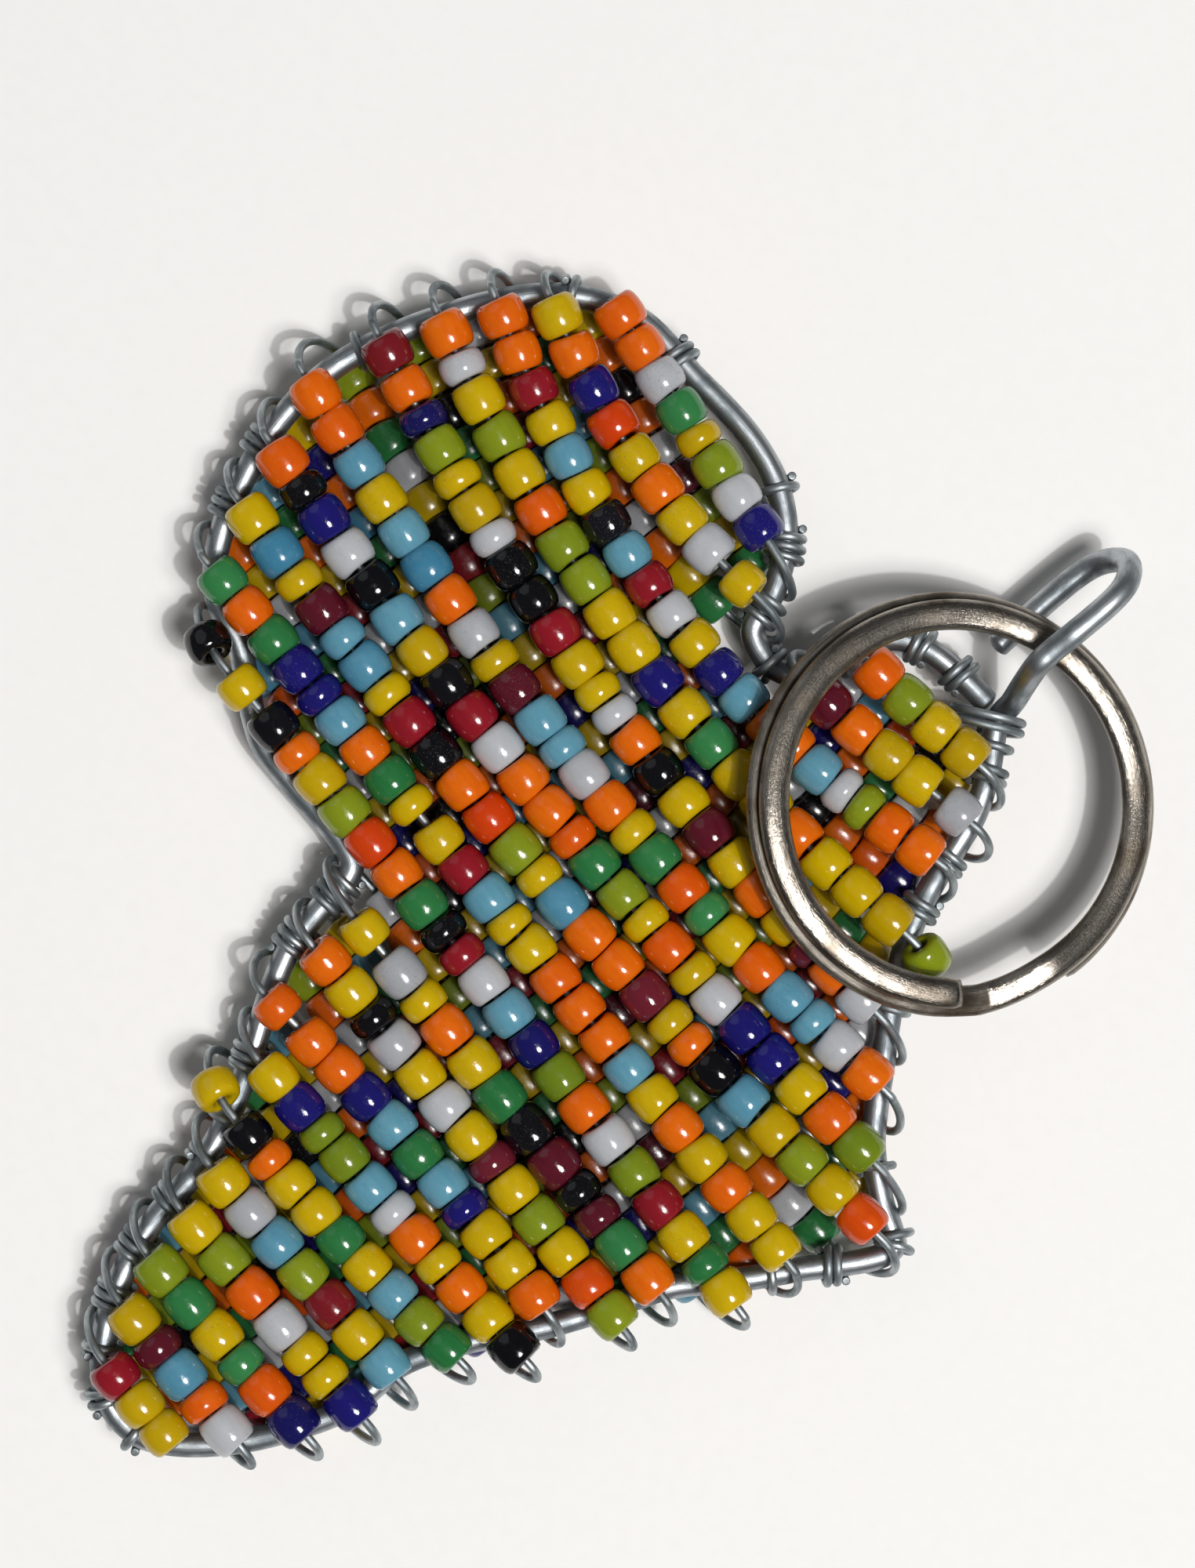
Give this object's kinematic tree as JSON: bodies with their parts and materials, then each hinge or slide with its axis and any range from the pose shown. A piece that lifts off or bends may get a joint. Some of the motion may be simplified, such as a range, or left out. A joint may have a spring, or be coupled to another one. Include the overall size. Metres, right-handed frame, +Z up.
{
  "type": "beaded map key ring",
  "caption": "Flat key ring in the outline of the African continent: rows of glass seed beads on thin wire across a bent wire outline, with a hanging eye and a split ring.",
  "frame": {"origin": "middle of the footprint at the level the lower face of beads rests on", "axes": "+Y points to the hanging eye (map north), +X to the right seen from the front face (map east), +Z up out of the front face, object lying on its back face"},
  "size_m": [0.0654, 0.0806, 0.0114],
  "materials": {
    "galvanised_wire": "dull zinc coating, drawn wire",
    "thin_wire": "thin galvanised binding wire",
    "nickelled_steel": "worn nickel plate, scratched",
    "orange_glass": "opaque glossy glass seed bead",
    "yellow_glass": "opaque glossy glass seed bead",
    "sky_glass": "opaque glossy glass seed bead",
    "navy_glass": "opaque glossy glass seed bead",
    "green_glass": "opaque glossy glass seed bead",
    "lime_glass": "opaque glossy glass seed bead",
    "white_glass": "opaque glossy glass seed bead",
    "black_glass": "opaque glossy glass seed bead",
    "red_glass": "opaque glossy glass seed bead",
    "maroon_glass": "opaque glossy glass seed bead"
  },
  "bodies": {
    "figure": {"outline_wire": "galvanised_wire", "beading_wire_main": "thin_wire", "beading_wire_north_east": "thin_wire", "edge_wraps": "thin_wire", "south_west_winding": "thin_wire", "notch_coil": "thin_wire", "eye_binding": "thin_wire", "front_orange_beads": "orange_glass", "front_yellow_beads": "yellow_glass", "front_sky_beads": "sky_glass", "front_navy_beads": "navy_glass", "front_green_beads": "green_glass", "front_lime_beads": "lime_glass", "front_white_beads": "white_glass", "front_black_beads": "black_glass", "front_red_beads": "red_glass", "front_maroon_beads": "maroon_glass", "back_orange_beads": "orange_glass", "back_yellow_beads": "yellow_glass", "back_sky_beads": "sky_glass", "back_navy_beads": "navy_glass", "back_green_beads": "green_glass", "back_lime_beads": "lime_glass", "back_white_beads": "white_glass", "back_black_beads": "black_glass", "back_red_beads": "red_glass", "back_maroon_beads": "maroon_glass"},
    "ring": {"split_ring": "nickelled_steel"},
    "lime_bead_east": {"loose_lime_bead_east": "lime_glass"},
    "black_bead_west": {"loose_black_bead_west": "black_glass"},
    "yellow_bead_coast": {"loose_yellow_bead_coast": "yellow_glass"},
    "yellow_bead_north": {"loose_yellow_bead_north": "yellow_glass"},
    "yellow_bead_west": {"loose_yellow_bead_west": "yellow_glass"},
    "yellow_bead_gulf": {"loose_yellow_bead_gulf": "yellow_glass"},
    "orange_bead_waist": {"loose_orange_bead_waist": "orange_glass"},
    "white_bead_north_east": {"loose_white_bead_north_east": "white_glass"}
  },
  "joints": [
    {"name": "ring_swing", "type": "hinge", "parent": "figure", "child": "ring", "pos_m": [0.00895, 0.03281, 0.00621], "axis": [-0.9162, -0.3573, 0.1814], "range_deg": [0, 285]},
    {"name": "lime_bead_east_turn", "type": "hinge", "parent": "figure", "child": "lime_bead_east", "pos_m": [0.01929, 0.01543, 0.00593], "axis": [0.8778, -0.0919, -0.4701], "continuous": true},
    {"name": "black_bead_west_turn", "type": "hinge", "parent": "figure", "child": "black_bead_west", "pos_m": [-0.02237, -0.00519, 0.00588], "axis": [0.8867, -0.1453, 0.4389], "continuous": true},
    {"name": "yellow_bead_coast_turn", "type": "hinge", "parent": "figure", "child": "yellow_bead_coast", "pos_m": [-0.00181, -0.02186, 0.00588], "axis": [0.8741, -0.1695, 0.4552], "continuous": true},
    {"name": "yellow_bead_north_slide", "type": "slide", "parent": "figure", "child": "yellow_bead_north", "axis": [-0.9905, -0.1079, -0.0857], "range_m": [0, 0.0006]},
    {"name": "yellow_bead_west_slide", "type": "slide", "parent": "figure", "child": "yellow_bead_west", "axis": [0.9969, 0.001, -0.0792], "range_m": [0, 0.0006]},
    {"name": "yellow_bead_gulf_slide", "type": "slide", "parent": "figure", "child": "yellow_bead_gulf", "axis": [0.993, -0.0151, -0.1175], "range_m": [0, 0.0006]},
    {"name": "orange_bead_waist_slide", "type": "slide", "parent": "figure", "child": "orange_bead_waist", "axis": [0.9912, 0.086, -0.1011], "range_m": [0, 0.0006]},
    {"name": "white_bead_north_east_slide", "type": "slide", "parent": "figure", "child": "white_bead_north_east", "axis": [-0.9794, -0.1968, -0.0449], "range_m": [0, 0.0006]}
  ]
}
